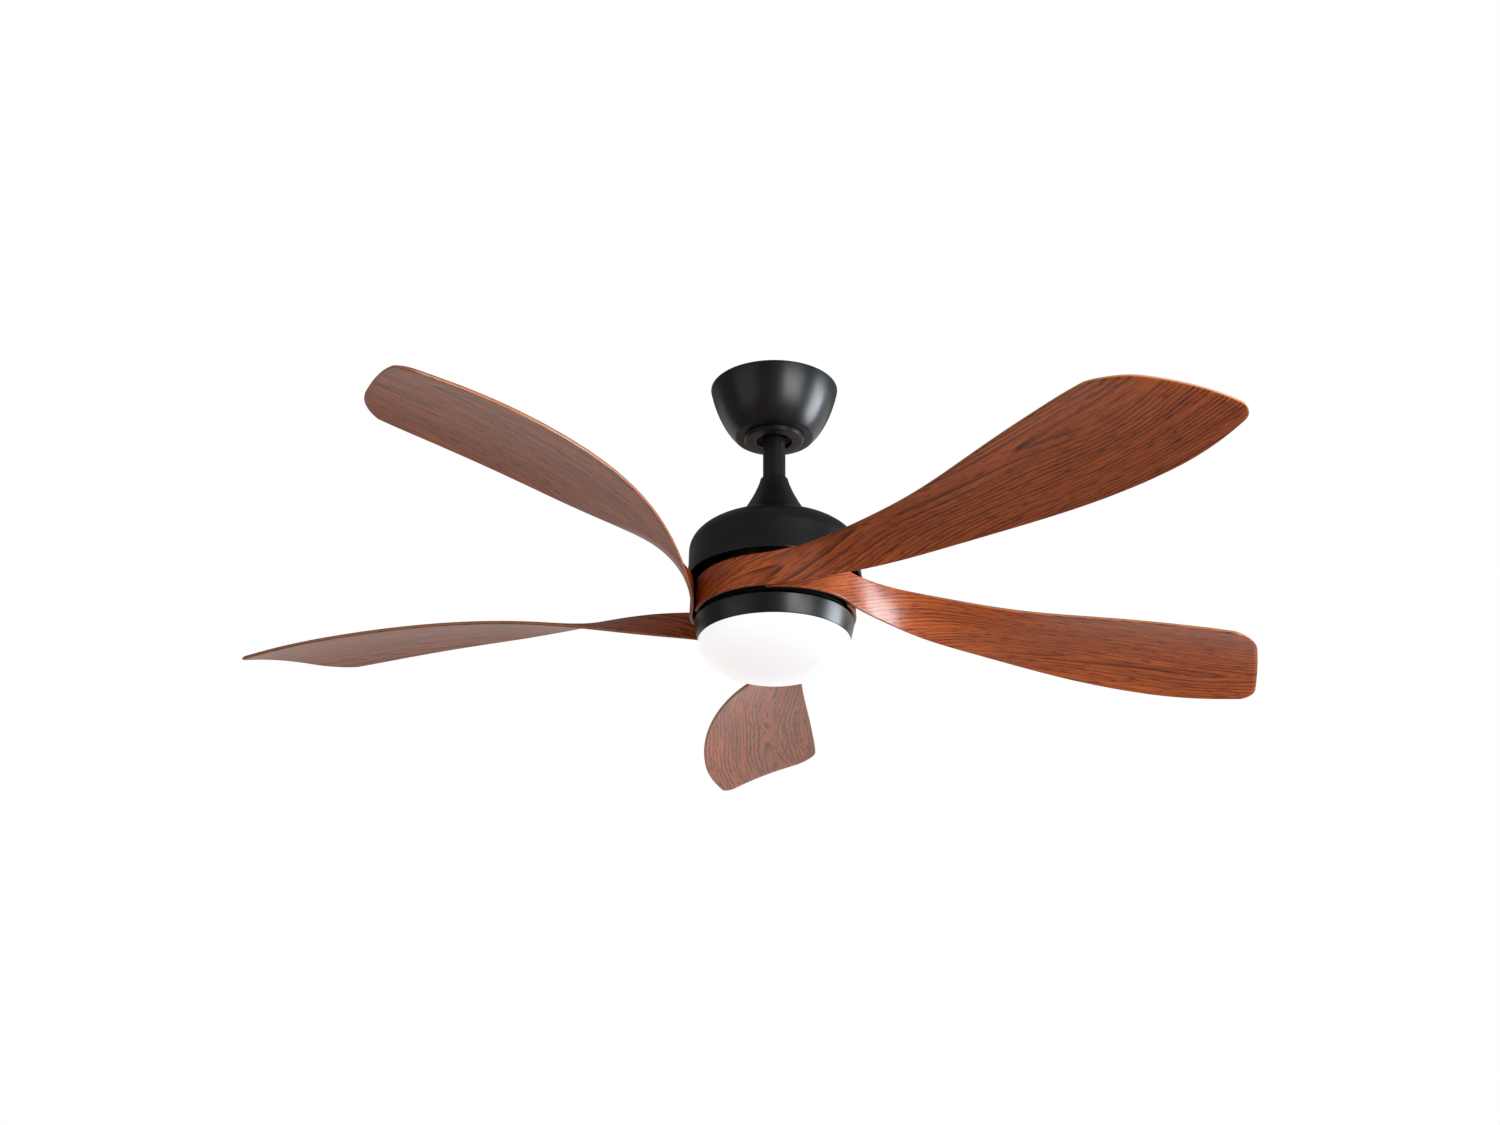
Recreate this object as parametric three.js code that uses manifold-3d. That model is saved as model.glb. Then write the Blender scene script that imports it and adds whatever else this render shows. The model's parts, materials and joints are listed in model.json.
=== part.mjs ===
// Ceiling fan with a bowl light, hung by a downrod from a ball joint inside its canopy.
// Millimetres, +Z up. The origin is the centre of the ceiling face, so the fan hangs below z = 0.
// Five carved blades start as upright bands wrapped round the hub, each over the root of the next,
// and twist until they lie almost flat at their tips.
import * as THREE from 'three';
import { mergeVertices } from 'three/addons/utils/BufferGeometryUtils.js';
import Module from 'manifold-3d';

const wasm = await Module();
wasm.setup();

// ---------------------------------------------------------------- driving dimensions

const GAP = 0.3; // between touching pieces
const WALL = 1.5; // pressed metal covers
const BALL_GAP = 0.6; // between the ball, its liner and its seat
const ROUND = 28; // facets round a large turned part
const MEDIUM_ROUND = 20; // facets round the ball joint, shaft and bearings
const SMALL_ROUND = 8; // facets round a screw, pin or lead

const CANOPY = { topRadius: 76.2, bottomRadius: 46, depth: 63.6, holeRadius: 24 };
const TRIM = { radius: 35.6, holeRadius: 21.5, depth: 5.2 };
const BRACKET = { length: 124, width: 44, thickness: 2.5, wireHoleRadius: 15, legX: 30.5, legWidth: 20 };
const CEILING_SLOT = { x: 46, length: 20, width: 6.5 };
const CANOPY_SCREW_X = 28.5;
const BALL = { z: -34, radius: 22, linerThickness: 1.7, seatRadius: 31, pinZ: -24 };
const ROD = { radius: 13.35, bore: 11.1, top: -12, bottom: -158 };
const LEAD = { radius: 2, offset: 6 };
const COVER = { top: -118.6, bottom: -178.3, topRadius: 17, baseRadius: 45, shoulder: 4, skirt: 3.4 };
const YOKE = { top: -136, radius: 19, flangeRadius: 34, flangeThickness: 4.4, pinZ: -143, setScrewZ: -166 };
const HOUSING = { radius: 99.3, crown: 41, shoulderZ: -217, rimRadius: 101.9, rimZ: -252, squareness: 2.3 };
const HOUSING_SCREW_RADIUS = 27;
const HOUSING_SCREW_ANGLES = [30, 150, 270];
const DRIVER_BOARD_DROP = 11; // below the housing's top
const SHAFT = { radius: 9, bore: 6, bottom: -313.5 };
const STATOR = { radius: 62.8, hubRadius: 26, top: -217, bottom: -247, teeth: 12, toothWidth: 9 };
const MAGNET = { inner: 63.5, outer: 67.2 };
const ROTOR = { radius: 70.5, top: -207, flangeRadius: 84, flangeZ: -255.7 };
const HUB = { radius: 86.3, wall: 4.3, top: -256, bottom: -297 };
const BEARING = { outer: 13, height: 7 };
const RING = { topRadius: 92.2, bottomRadius: 87.5, top: -302.7, bottom: -325.5, wall: 2 };
const DECK_THICKNESS = 2;
const BOWL = { radius: 87.3, depth: 43.3, wall: 2.2, neckRadius: 83.5 };
const LUGS = 3;
const LED_BOARD_RADIUS = 68;
const TRAY = { radius: 80, top: -325, thickness: 1.5, screwRadius: 75 };

const BLADES = 5;
const STUD_STEPS = [9, 22]; // where the two studs of a blade are, in degrees past the start of its root
const STUD_DEPTH = 2.4; // how far a stud goes into the blade
const BLADE = {
  thickness: 4,
  length: 665, // along the top edge, from the end of the root to the tip
  sweptLength: 716, // along the other edge
  wrapStart: -168, // degrees round the hub where the root begins
  wrapEnd: -99.4,
  wrapRadius: 89.9, // centre of the root band at its start
  wrapGrowth: 6, // how far the band moves out in one blade pitch, so that it clears the next root
  rootWidth: 38.7,
  tipWidth: 156,
  tipTaper: 36,
  rootTwist: 92, // degrees from level
  tipTwist: 11.1,
  rootZ: -277.3,
  camber: 6.7,
};

// ---------------------------------------------------------------- materials

function finish(color, roughness, metalness) {
  return new THREE.MeshStandardMaterial({ color, roughness, metalness });
}

const BLACK_METAL = finish(0x1e1e20, 0.42, 0.6);
const WALNUT = finish(0x8a5138, 0.5, 0);
const OPAL = finish(0xf6f5f3, 0.35, 0);
const STEEL = finish(0xa9abad, 0.35, 1);
const ALUMINIUM = finish(0xb9bcbf, 0.45, 1);
const COPPER = finish(0xa8622f, 0.35, 1);
const LAMINATION = finish(0x55585c, 0.5, 0.9);
const MAGNET_GREY = finish(0x33353a, 0.6, 0.3);
const BOARD_GREEN = finish(0x2c6b46, 0.5, 0);
const BOARD_WHITE = finish(0xf2f2ee, 0.5, 0);
const NYLON = finish(0xe6e2d6, 0.6, 0);
const GREY_PLASTIC = finish(0x6f7276, 0.6, 0);
const CABLE_BLACK = finish(0x18181a, 0.6, 0);

// ---------------------------------------------------------------- shape helpers

// Welds a geometry's corners together, drops collapsed faces and turns its faces outwards.
function weld(geometry) {
  geometry.deleteAttribute('normal');
  geometry.deleteAttribute('uv');
  const welded = mergeVertices(geometry, 1e-4);
  const corner = (i) => new THREE.Vector3().fromBufferAttribute(welded.attributes.position, i);
  const faces = [];
  let volume = 0;
  for (let i = 0; i < welded.index.count; i += 3) {
    const [a, b, c] = [0, 1, 2].map((k) => welded.index.getX(i + k));
    if (a !== b && b !== c && c !== a) {
      faces.push([a, b, c]);
      volume += corner(a).dot(corner(b).cross(corner(c)));
    }
  }
  welded.setIndex(faces.flatMap(([a, b, c]) => (volume < 0 ? [a, c, b] : [a, b, c])));
  return welded;
}

function toSolid(geometry) {
  const { attributes, index } = weld(geometry);
  const mesh = new wasm.Mesh({
    numProp: 3,
    vertProperties: new Float32Array(attributes.position.array),
    triVerts: new Uint32Array(index.array),
  });
  return new wasm.Manifold(mesh);
}

function toGeometry(solid) {
  const { vertProperties, triVerts } = solid.getMesh();
  const geometry = new THREE.BufferGeometry();
  geometry.setAttribute('position', new THREE.BufferAttribute(vertProperties, 3));
  geometry.setIndex(new THREE.BufferAttribute(triVerts, 1));
  geometry.computeVertexNormals();
  return geometry;
}

function cut(geometry, ...tools) {
  return toGeometry(tools.reduce((left, tool) => left.subtract(toSolid(tool)), toSolid(geometry)));
}

function join(...pieces) {
  return toGeometry(pieces.map(toSolid).reduce((whole, piece) => whole.add(piece)));
}

// A part turned about Z. The outline's points are [radius, z]; off the axis it closes on itself.
function revolve(outline, facets = ROUND) {
  const points = outline.map(([r, z]) => new THREE.Vector2(r, z));
  if (points[0].x > 0 || points.at(-1).x > 0) {
    points.push(points[0].clone());
  }
  return weld(new THREE.LatheGeometry(points, facets).rotateX(Math.PI / 2));
}

// Points along a drawn path, as [radius, z] pairs.
const trace = (path, divisions) => path.getPoints(divisions).map((p) => [p.x, p.y]);

// Points along a circular arc about [r, z], from one angle to another in degrees.
function arc(r, z, radius, from, to, steps) {
  return Array.from({ length: steps + 1 }, (_, i) => {
    const angle = THREE.MathUtils.degToRad(from + ((to - from) * i) / steps);
    return [r + radius * Math.cos(angle), z + radius * Math.sin(angle)];
  });
}

// A flat plate cut from a shape, with its top face at z = top.
function plate(shape, top, thickness, curveSegments = 12) {
  const geometry = new THREE.ExtrudeGeometry(shape, { depth: thickness, bevelEnabled: false, curveSegments });
  return geometry.translate(0, 0, top - thickness);
}

function slotShape(length, width) {
  const run = (length - width) / 2;
  const shape = new THREE.Shape();
  shape.absarc(run, 0, width / 2, -Math.PI / 2, Math.PI / 2);
  shape.absarc(-run, 0, width / 2, Math.PI / 2, (3 * Math.PI) / 2);
  return shape;
}

const block = (x, y, z, at) => new THREE.BoxGeometry(x, y, z).translate(...at);

// A round bar along Z, X or Y, centred on a point.
function bar(radius, length, at, axis = 'z', facets = SMALL_ROUND) {
  const geometry = new THREE.CylinderGeometry(radius, radius, length, facets);
  if (axis === 'z') geometry.rotateX(Math.PI / 2);
  if (axis === 'x') geometry.rotateZ(Math.PI / 2);
  return geometry.translate(...at);
}

// A pan-head screw. Its head sits on z = 0 and its shank runs up from there.
function panScrew(headRadius, headHeight, shankRadius, length) {
  return revolve(
    [
      [0, -headHeight],
      [headRadius * 0.7, -headHeight],
      [headRadius, -headHeight * 0.45],
      [headRadius, 0],
      [shankRadius, 0],
      [shankRadius, length - shankRadius],
      [shankRadius * 0.4, length],
      [0, length],
    ],
    SMALL_ROUND,
  );
}

const degrees = THREE.MathUtils.degToRad;
const around = (radius, angle) => [radius * Math.cos(degrees(angle)), radius * Math.sin(degrees(angle))];

const fan = new THREE.Group();

function add(name, geometry, material, parent = fan) {
  const mesh = new THREE.Mesh(geometry, material);
  mesh.name = name;
  parent.add(mesh);
  return mesh;
}

// ---------------------------------------------------------------- ceiling bracket and canopy

function ceilingBracket() {
  const { length, width, thickness, wireHoleRadius, legX, legWidth } = BRACKET;
  const top = slotShape(length, width);
  top.holes.push(new THREE.Path().absarc(0, 0, wireHoleRadius, 0, 2 * Math.PI));
  const legBottom = -CANOPY.depth + WALL + GAP;
  const pieces = [plate(top, 0, thickness), block(30, 32, thickness, [0, 36, -thickness / 2])];
  const legHeight = -legBottom - thickness / 2;
  for (const side of [-1, 1]) {
    const legMiddle = [side * (legX + thickness / 2), 0, legBottom + legHeight / 2];
    pieces.push(block(thickness, legWidth, legHeight, legMiddle));
    pieces.push(block(9, 16, thickness, [side * CANOPY_SCREW_X, 0, legBottom + thickness / 2]));
  }
  const seatBore = BALL.radius + 2 * BALL_GAP + BALL.linerThickness;
  const seatLow = -35;
  const seat = [...arc(0, BALL.z, seatBore, 0, seatLow, 3)];
  const seatBottom = seat.at(-1)[1];
  seat.push([BALL.seatRadius, seatBottom], [BALL.seatRadius, BALL.z]);
  pieces.push(revolve(seat, MEDIUM_ROUND));
  const cuts = [block(2 * ROD.radius + 2, 40, 30, [0, -20, seatBottom + 5])];
  const slot = slotShape(CEILING_SLOT.length, CEILING_SLOT.width);
  for (const side of [-1, 1]) {
    cuts.push(plate(slot, 1, 6).translate(side * CEILING_SLOT.x, 0, 0));
    cuts.push(bar(2.1, 12, [side * CANOPY_SCREW_X, 0, legBottom]));
  }
  return cut(join(...pieces), ...cuts);
}

function canopy() {
  const { topRadius, bottomRadius, depth, holeRadius } = CANOPY;
  const outside = new THREE.Path();
  outside.moveTo(topRadius, 0);
  outside.bezierCurveTo(topRadius - 4.4, -22, topRadius - 14.2, -47, bottomRadius + 1, 0.6 - depth);
  outside.lineTo(bottomRadius, -depth);
  const inside = new THREE.Path();
  inside.moveTo(bottomRadius, WALL - depth);
  inside.bezierCurveTo(topRadius - 15.8, -46, topRadius - 6, -21.5, topRadius - WALL, 0);
  const bottomHole = [[holeRadius, -depth], [holeRadius, WALL - depth]];
  const outline = [...trace(outside, 6), ...bottomHole, ...trace(inside, 6)];
  const screwHoles = [-1, 1].map((side) => bar(2.1, 8, [side * CANOPY_SCREW_X, 0, -depth]));
  return cut(revolve(outline), ...screwHoles);
}

function canopyTrimRing() {
  const { radius, holeRadius, depth } = TRIM;
  const top = -CANOPY.depth - GAP;
  const lip = 1.5;
  return revolve([
    [radius, top],
    [radius, top - 2.2],
    [radius - 1.2, top - 2.6],
    [radius - 1.2, top - depth + 0.6],
    [radius - 1.8, top - depth],
    [holeRadius + 0.6, top - depth],
    [holeRadius, top - depth + 0.6],
    [holeRadius, top],
    [holeRadius + lip, top],
    [holeRadius + lip, top - 2.6],
    [radius - 2.4, top - 2.6],
    [radius - 2.4, top],
  ]);
}

add('ceiling_bracket', ceilingBracket(), STEEL);
add('canopy', canopy(), BLACK_METAL);
add('canopy_trim_ring', canopyTrimRing(), BLACK_METAL);
[-1, 1].forEach((side, i) => {
  const screw = add(`canopy_screw_${i + 1}`, panScrew(3.2, 1.4, 1.8, 8), STEEL);
  screw.position.set(side * CANOPY_SCREW_X, 0, -CANOPY.depth - GAP);
});

const TERMINAL_SIZE = [11, 24, 11];

function terminalBlock() {
  const [width, depth, height] = TERMINAL_SIZE;
  const body = block(width, depth, height, [0, 0, 0]);
  const wireHoles = [-7.5, 0, 7.5].map((y) => bar(1.8, 8, [width / 2, y, -1.5], 'x'));
  return cut(body, ...wireHoles);
}

const terminals = add('terminal_block', terminalBlock(), NYLON);
terminals.position.set(23, 0, -BRACKET.thickness - GAP - TERMINAL_SIZE[2] / 2);

function receiverBox() {
  const outline = slotShape(52, 20);
  const lid = plate(slotShape(48, 16), 1.2, 2);
  return join(plate(outline, 0, 21), lid).translate(0, 46, -BRACKET.thickness - GAP - 1.2);
}

add('receiver_box', receiverBox(), GREY_PLASTIC);

// ---------------------------------------------------------------- ball joint and downrod

function ballLiner() {
  const inner = BALL.radius + BALL_GAP;
  const outer = inner + BALL.linerThickness;
  return revolve([...arc(0, BALL.z, outer, -4, -33, 3), ...arc(0, BALL.z, inner, -33, -4, 3)], MEDIUM_ROUND);
}

function hangerBall() {
  const bore = ROD.radius + GAP;
  const outline = [...arc(0, BALL.z, BALL.radius, -50, 42, 7)];
  outline.push([bore, outline.at(-1)[1]], [bore, outline[0][1]]);
  const pinSlot = block(5.6, 50, 20, [0, 0, BALL.pinZ - 2.8 + 10]);
  return cut(revolve(outline, MEDIUM_ROUND), pinSlot);
}

function downrod() {
  const { radius, bore, top, bottom } = ROD;
  const tube = revolve([[radius, top], [bore, top], [bore, bottom], [radius, bottom]], MEDIUM_ROUND);
  return cut(tube, bar(2.8, 40, [0, 0, BALL.pinZ], 'y'), bar(3, 40, [0, 0, YOKE.pinZ], 'y'));
}

const hanging = new THREE.Group();
fan.add(hanging);

add('ball_liner', ballLiner(), NYLON);
add('hanger_ball', hangerBall(), GREY_PLASTIC, hanging);
add('ball_pin', bar(2.5, 34, [0, 0, BALL.pinZ], 'y'), STEEL, hanging);
add('downrod', downrod(), BLACK_METAL, hanging);

// The supply lead keeps to one side of the pins, then enters the hollow shaft.
function supplyLead() {
  const route = new THREE.CatmullRomCurve3(
    [
      [LEAD.offset, -14.5],
      [LEAD.offset, -60],
      [LEAD.offset, -110],
      [LEAD.offset, -140],
      [LEAD.offset - 0.4, -148],
      [LEAD.offset - 2.6, -157],
      [0.9, -168],
      [0, -178],
      [0, -220],
      [0, -270],
      [0, SHAFT.bottom - 1.5],
    ].map(([x, z]) => new THREE.Vector3(x, 0, z)),
  );
  const section = new THREE.Shape().absarc(0, 0, LEAD.radius, 0, 2 * Math.PI);
  return new THREE.ExtrudeGeometry(section, { steps: 30, extrudePath: route, curveSegments: 4 });
}

add('supply_lead', supplyLead(), CABLE_BLACK, hanging);
add('lead_plug', block(9, 8, 10, [4.5, 0, -9]), NYLON, hanging);
add('light_plug', block(9, 8, 7.5, [0, 0, SHAFT.bottom - 1.5 - GAP - 3.75]), NYLON, hanging);

// ---------------------------------------------------------------- coupling

// Rounded at the top, where the rod goes through, and flared like a bell down to the housing.
function couplingCover() {
  const { top, bottom, topRadius, baseRadius, shoulder, skirt } = COVER;
  const outside = new THREE.Path();
  outside.moveTo(topRadius - shoulder + 1, top);
  outside.quadraticCurveTo(topRadius, top, topRadius, top - shoulder);
  outside.bezierCurveTo(20.5, -135, 31.5, -158, baseRadius, bottom + skirt);
  const inside = new THREE.Path();
  inside.moveTo(baseRadius - WALL, bottom + skirt - 1.2);
  inside.bezierCurveTo(30, -159, 20, -138, topRadius - WALL, top - shoulder);
  const bore = ROD.radius + GAP;
  return revolve([
    ...trace(outside, 5),
    [baseRadius, bottom],
    [baseRadius - WALL, bottom],
    ...trace(inside, 5),
    [bore, top - WALL],
    [bore, top],
  ]);
}

const HOUSING_TOP = HOUSING.shoulderZ + HOUSING.crown * Math.sin(degrees(72)) ** (2 / HOUSING.squareness);
const YOKE_BOTTOM = HOUSING_TOP + GAP;

function motorYoke() {
  const { top, radius, flangeRadius, flangeThickness, pinZ, setScrewZ } = YOKE;
  const rodBore = ROD.radius + GAP;
  const shaftBore = SHAFT.radius + GAP;
  const step = ROD.bottom - GAP;
  const body = revolve(
    [
      [rodBore, top],
      [rodBore, step],
      [shaftBore, step],
      [shaftBore, YOKE_BOTTOM],
      [flangeRadius, YOKE_BOTTOM],
      [flangeRadius, YOKE_BOTTOM + flangeThickness],
      [radius, YOKE_BOTTOM + flangeThickness],
      [radius, top],
    ],
    MEDIUM_ROUND,
  );
  const cuts = [bar(3, 60, [0, 0, pinZ], 'y'), bar(2.3, 60, [0, 0, setScrewZ], 'x')];
  for (const angle of HOUSING_SCREW_ANGLES) {
    const [x, y] = around(HOUSING_SCREW_RADIUS, angle);
    cuts.push(bar(2.1, 20, [x, y, YOKE_BOTTOM]));
  }
  return cut(body, ...cuts);
}

const CLIP_Y = 20.6;

// Clevis pin with a flat head, and the spring clip that passes through a hole in its other end.
function yokePin() {
  const pin = join(bar(2.7, 42, [0, 1.2, 0], 'y'), bar(3.8, 1.4, [0, -20.1, 0], 'y'));
  return cut(pin, bar(1, 12, [0, CLIP_Y, 0])).translate(0, 0, YOKE.pinZ);
}

function yokePinClip() {
  const route = new THREE.CatmullRomCurve3(
    [
      [CLIP_Y, 5],
      [CLIP_Y, 0],
      [CLIP_Y, -6],
      [CLIP_Y + 1, -9],
      [CLIP_Y + 3, -10],
      [CLIP_Y + 4, -12],
    ].map(([y, z]) => new THREE.Vector3(0, y, z + YOKE.pinZ)),
  );
  const section = new THREE.Shape().absarc(0, 0, 0.65, 0, 2 * Math.PI);
  return new THREE.ExtrudeGeometry(section, { steps: 12, extrudePath: route, curveSegments: 3 });
}

add('coupling_cover', couplingCover(), BLACK_METAL, hanging);
add('motor_yoke', motorYoke(), STEEL, hanging);
add('yoke_pin', yokePin(), STEEL, hanging);
add('yoke_pin_clip', yokePinClip(), STEEL, hanging);
[-1, 1].forEach((side, i) => {
  const screw = bar(2, 11, [side * (SHAFT.radius + GAP + 5.5), 0, YOKE.setScrewZ], 'x');
  add(`yoke_set_screw_${i + 1}`, screw, STEEL, hanging);
});

// ---------------------------------------------------------------- motor

// The dome's crown is a squared-off ellipse; its skirt is nearly straight and flares at the rim.
function crown(radius, height, steps) {
  const power = 2 / HOUSING.squareness;
  return Array.from({ length: steps + 1 }, (_, i) => {
    const angle = degrees((72 * i) / steps);
    return [radius * Math.cos(angle) ** power, HOUSING.shoulderZ + height * Math.sin(angle) ** power];
  });
}

function motorHousing() {
  const { radius, crown: height, rimRadius, rimZ } = HOUSING;
  const hole = 14;
  const outside = [
    [rimRadius, rimZ],
    [rimRadius, rimZ + 2],
    [radius + 0.3, rimZ + 18],
    ...crown(radius, height, 6),
  ];
  const inside = [
    ...crown(radius - WALL, height - WALL, 6).reverse(),
    [radius + 0.3 - WALL, rimZ + 18],
    [rimRadius - WALL, rimZ + 2],
    [rimRadius - WALL, rimZ],
  ];
  const shell = revolve([...outside, [hole, outside.at(-1)[1]], [hole, inside[0][1]], ...inside]);
  const screwHoles = HOUSING_SCREW_ANGLES.map((angle) => {
    return bar(2.1, 12, [...around(HOUSING_SCREW_RADIUS, angle), HOUSING_TOP]);
  });
  return cut(shell, ...screwHoles);
}

function driverBoard() {
  const shape = new THREE.Shape().absarc(0, 0, 50, 0, 2 * Math.PI);
  shape.holes.push(new THREE.Path().absarc(0, 0, SHAFT.radius + 2, 0, 2 * Math.PI));
  for (const angle of HOUSING_SCREW_ANGLES) {
    shape.holes.push(new THREE.Path().absarc(...around(HOUSING_SCREW_RADIUS, angle), 2.1, 0, 2 * Math.PI));
  }
  const top = HOUSING_TOP - DRIVER_BOARD_DROP;
  const pieces = [plate(shape, top, 1.6, 6)];
  for (const angle of [0, 90, 180]) {
    pieces.push(bar(5, 12, [...around(38, angle), top - 6.5], 'z', 12));
  }
  for (const angle of [225, 315]) {
    pieces.push(block(12, 10, 6, [...around(40, angle), top - 3.5]));
  }
  return join(...pieces);
}

function motorShaft() {
  const { radius, bore, bottom } = SHAFT;
  const top = ROD.bottom - 2 * GAP;
  return revolve([[radius, top], [bore, top], [bore, bottom], [radius, bottom]], MEDIUM_ROUND);
}

// Laminated core: a ring of teeth, each ending in a curved shoe that faces the magnets.
function statorCore() {
  const { radius, hubRadius, top, bottom, teeth, toothWidth } = STATOR;
  const shoeInner = radius - 6;
  const shoeHalf = degrees(12.5);
  const shape = new THREE.Shape();
  const half = toothWidth / 2;
  const point = (r, angle) => [r * Math.cos(angle), r * Math.sin(angle)];
  for (let i = 0; i < teeth; i += 1) {
    const middle = (2 * Math.PI * i) / teeth;
    const root = Math.asin(half / hubRadius);
    const neck = Math.asin(half / shoeInner);
    const stops = [
      [hubRadius, -root],
      [shoeInner, -neck],
      [shoeInner + 2, -shoeHalf],
      [radius, -shoeHalf],
      [radius, -shoeHalf / 3],
      [radius, shoeHalf / 3],
      [radius, shoeHalf],
      [shoeInner + 2, shoeHalf],
      [shoeInner, neck],
      [hubRadius, root],
    ].map(([r, angle]) => point(r, middle + angle));
    stops.forEach(([x, y], k) => (i === 0 && k === 0 ? shape.moveTo(x, y) : shape.lineTo(x, y)));
  }
  shape.closePath();
  shape.holes.push(new THREE.Path().absarc(0, 0, SHAFT.radius + GAP, 0, 2 * Math.PI));
  return plate(shape, top, top - bottom, 10);
}

// One rectangular coil round each tooth, joined above the core by the ring of end wires.
function statorWinding() {
  const { top, bottom, teeth, toothWidth } = STATOR;
  const [start, end, overhang, side] = [31, 54, 4, 2];
  const height = top - bottom;
  const coils = [];
  for (let i = 0; i < teeth; i += 1) {
    const loop = new THREE.Shape();
    const halfWidth = toothWidth / 2 + GAP + side;
    const halfHeight = height / 2 + overhang;
    loop.moveTo(-halfWidth, -halfHeight);
    loop.lineTo(halfWidth, -halfHeight);
    loop.lineTo(halfWidth, halfHeight);
    loop.lineTo(-halfWidth, halfHeight);
    const hole = new THREE.Path();
    const inner = [toothWidth / 2 + GAP, height / 2 + GAP];
    hole.moveTo(-inner[0], -inner[1]);
    hole.lineTo(-inner[0], inner[1]);
    hole.lineTo(inner[0], inner[1]);
    hole.lineTo(inner[0], -inner[1]);
    loop.holes.push(hole);
    const coil = new THREE.ExtrudeGeometry(loop, { depth: end - start, bevelEnabled: false });
    coil.rotateX(Math.PI / 2).rotateZ(Math.PI).translate(0, start, (top + bottom) / 2);
    coils.push(coil.rotateZ((2 * Math.PI * (i + 0.5)) / teeth + Math.PI / teeth - Math.PI / 2));
  }
  const ends = revolve([
    [start + 1, top + 1],
    [start + 4, top + 1],
    [start + 4, top + 3],
    [start + 1, top + 3],
  ]);
  return join(...coils, ends);
}

const rotor = new THREE.Group();
hanging.add(rotor);

function rotorShell() {
  const { radius, top, flangeRadius, flangeZ } = ROTOR;
  const seat = BEARING.outer + GAP;
  const inner = MAGNET.outer + GAP;
  return revolve([
    [seat, top + 4],
    [seat, top - 4],
    [seat + 4, top - 4],
    [seat + 4, top - 3],
    [inner, top - 3],
    [inner, flangeZ],
    [flangeRadius, flangeZ],
    [flangeRadius, flangeZ + 3],
    [radius, flangeZ + 3],
    [radius, top - 1],
    [radius - 2, top],
    [seat + 4, top],
    [seat + 4, top + 4],
  ]);
}

function bearing(middleZ) {
  const { outer, height } = BEARING;
  const inner = SHAFT.radius + GAP;
  const [low, high, groove] = [middleZ - height / 2, middleZ + height / 2, 0.8];
  return revolve(
    [
      [inner, low],
      [inner + 1.2, low],
      [inner + 1.2, low + groove],
      [outer - 1.2, low + groove],
      [outer - 1.2, low],
      [outer, low],
      [outer, high],
      [outer - 1.2, high],
      [outer - 1.2, high - groove],
      [inner + 1.2, high - groove],
      [inner + 1.2, high],
      [inner, high],
    ],
    MEDIUM_ROUND,
  );
}

// Drum that the blade roots wrap round; the lower bearing sits in its floor.
function bladeHub() {
  const { radius, wall, top, bottom } = HUB;
  const seat = BEARING.outer + GAP;
  const floor = 3;
  const drum = revolve([
    [seat, bottom],
    [radius, bottom],
    [radius, top],
    [MAGNET.outer + GAP, top],
    [MAGNET.outer + GAP, top - 3],
    [radius - wall, top - 3],
    [radius - wall, bottom + floor],
    [seat + 4, bottom + floor],
    [seat + 4, bottom + 8],
    [seat, bottom + 8],
  ]);
  const holes = [];
  for (const angle of studAngles()) {
    const hole = bar(2.1, 20, [radius - wall / 2, 0, BLADE.rootZ], 'x', 8);
    holes.push(hole.rotateZ(degrees(angle)));
  }
  return cut(drum, ...holes);
}

// ---------------------------------------------------------------- blades

const PITCH = 360 / BLADES;

function studAngles() {
  const angles = [];
  for (let i = 0; i < BLADES; i += 1) {
    STUD_STEPS.forEach((step) => angles.push(BLADE.wrapStart + step + i * PITCH));
  }
  return angles;
}

// The root's path seen from above: a circle round the hub that slowly opens out.
class Wrap extends THREE.Curve {
  getPoint(t) {
    const turned = t * (BLADE.wrapEnd - BLADE.wrapStart);
    const radius = BLADE.wrapRadius + (BLADE.wrapGrowth * turned) / PITCH;
    return new THREE.Vector2(...around(radius, BLADE.wrapStart + turned));
  }
}

// The blade's centre line seen from above: the wrap, a long sweep outwards and a straight end.
function centreLine() {
  const wrap = new Wrap();
  const start = wrap.getPoint(1);
  const lead = start.clone().addScaledVector(wrap.getTangent(1), 92.5);
  const bend = new THREE.Vector2(252.8, -273.7);
  const end = new THREE.Vector2(364.8, -479.4);
  const beyond = end.clone().addScaledVector(end.clone().sub(bend).normalize(), 80);
  const line = new THREE.CurvePath();
  line.add(wrap);
  line.add(new THREE.CubicBezierCurve(start, lead, bend, end));
  line.add(new THREE.LineCurve(end, beyond));
  return line;
}

const BLADE_LINE = centreLine();
const BLADE_LINE_LENGTH = BLADE_LINE.getLength();
const smooth = (from, to, x) => THREE.MathUtils.smoothstep(x, from, to);

function bladeHalfWidth(s) {
  const { rootWidth, tipWidth, tipTaper } = BLADE;
  const grown = 1 - (1 - smooth(146.6, 659, s)) ** 1.5;
  const taper = tipTaper * (Math.max(0, s - 587.5) / 150) ** 2;
  return (rootWidth + (tipWidth - rootWidth) * grown - taper) / 2;
}

function bladeTwist(s) {
  const { rootTwist, tipTwist } = BLADE;
  return degrees(tipTwist + (rootTwist - tipTwist) * (1 - smooth(90, 584.5, s)) ** 4);
}

function bladeHeight(s) {
  return BLADE.rootZ + 0.8 * smooth(60, 220, s) + 0.7 * smooth(220, 420, s) - 5.4 * smooth(420, 740, s);
}

// How much shorter the blade is at a distance from its edge, where the corner is rounded off.
function corner(fromEdge, across, along) {
  const depth = Math.max(0, 1 - fromEdge / across);
  return along * (1 - Math.sqrt(1 - depth * depth));
}

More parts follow.
